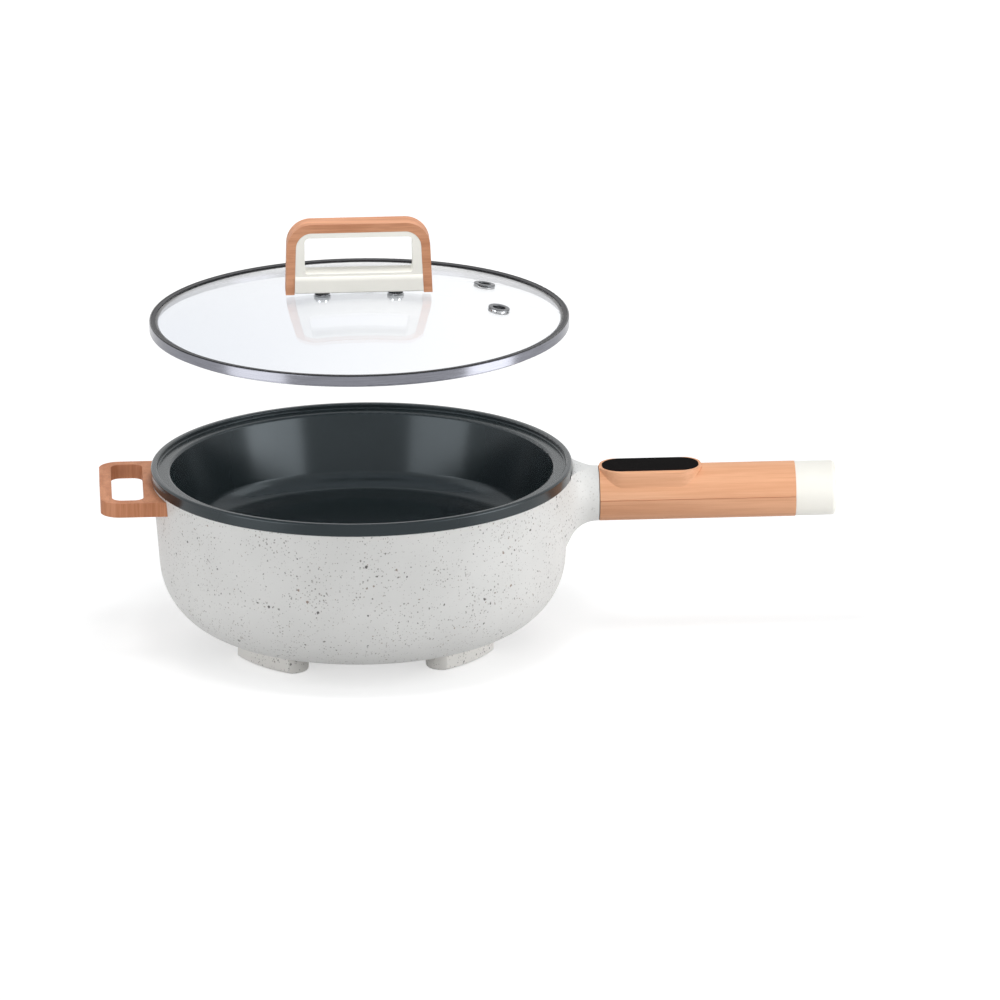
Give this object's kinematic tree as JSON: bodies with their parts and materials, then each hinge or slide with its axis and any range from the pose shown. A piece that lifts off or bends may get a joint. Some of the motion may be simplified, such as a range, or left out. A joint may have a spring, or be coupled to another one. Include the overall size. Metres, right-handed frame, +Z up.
{
  "type": "electric skillet",
  "caption": "Deep round electric skillet with a stepped non-stick pot, a lift-off glass lid with a bail grip, a long touch-control handle and a looped helper handle.",
  "frame": {"origin": "on the pot's vertical axis at table level, under the feet", "axes": "+Z up, +X along the long control handle, -Y towards the front"},
  "size_m": [0.5068, 0.29, 0.2999],
  "materials": {
    "body_white": "satin, off-white with fine dark speckles",
    "pot_coating": "dark satin non-stick coating",
    "wood_grip": "light orange-brown wood grain, satin",
    "cream_plastic": "smooth cream",
    "steel_band": "bright polished band and eyelets",
    "steel_fastener": "zinc plated",
    "panel_black": "glossy black lens",
    "lid_glass": "clear tempered glass",
    "silicone_grey": "matt silicone",
    "silicone_dark": "matt dark silicone",
    "bare_aluminium": "as cast",
    "element_steel": "heat-tinted tube",
    "shield_steel": "plain sheet",
    "ceramic_white": "ceramic body",
    "circuit_board": "solder mask",
    "lead_heater": "silicone-insulated lead",
    "lead_mains": "insulated lead",
    "inlet_black": "black moulding",
    "pin_brass": "plated pins"
  },
  "bodies": {
    "cooker": {"outer_shell": "body_white", "inner_pot": "pot_coating", "heat_plate": "bare_aluminium", "heating_element": "element_steel", "heat_shield": "shield_steel", "shield_screws": "steel_fastener", "thermostat": "ceramic_white", "thermal_fuse": "ceramic_white", "heater_leads": "lead_heater", "pot_screws": "steel_fastener", "base_cover": "body_white", "foot_pads": "silicone_grey", "base_screws": "steel_fastener", "handle_upper": "wood_grip", "handle_lower": "wood_grip", "handle_screws": "steel_fastener", "handle_end_cap": "cream_plastic", "power_inlet": "inlet_black", "inlet_pins": "pin_brass", "mains_leads": "lead_mains", "control_panel": "panel_black", "touch_board": "circuit_board", "power_board": "circuit_board", "helper_handle": "wood_grip", "helper_screws": "steel_fastener"},
    "lid": {"lid_glass": "lid_glass", "lid_band": "steel_band", "lid_seal": "silicone_dark", "lid_grip": "wood_grip", "lid_handle_core": "cream_plastic", "lid_spacers": "silicone_dark", "lid_backing_washers": "cream_plastic", "lid_screws": "steel_fastener", "steam_vents": "steel_band"}
  },
  "joints": [
    {"name": "lid_lift", "type": "slide", "parent": "cooker", "child": "lid", "axis": [0, 0, 1], "range_m": [-0.0977, 0.08]}
  ]
}
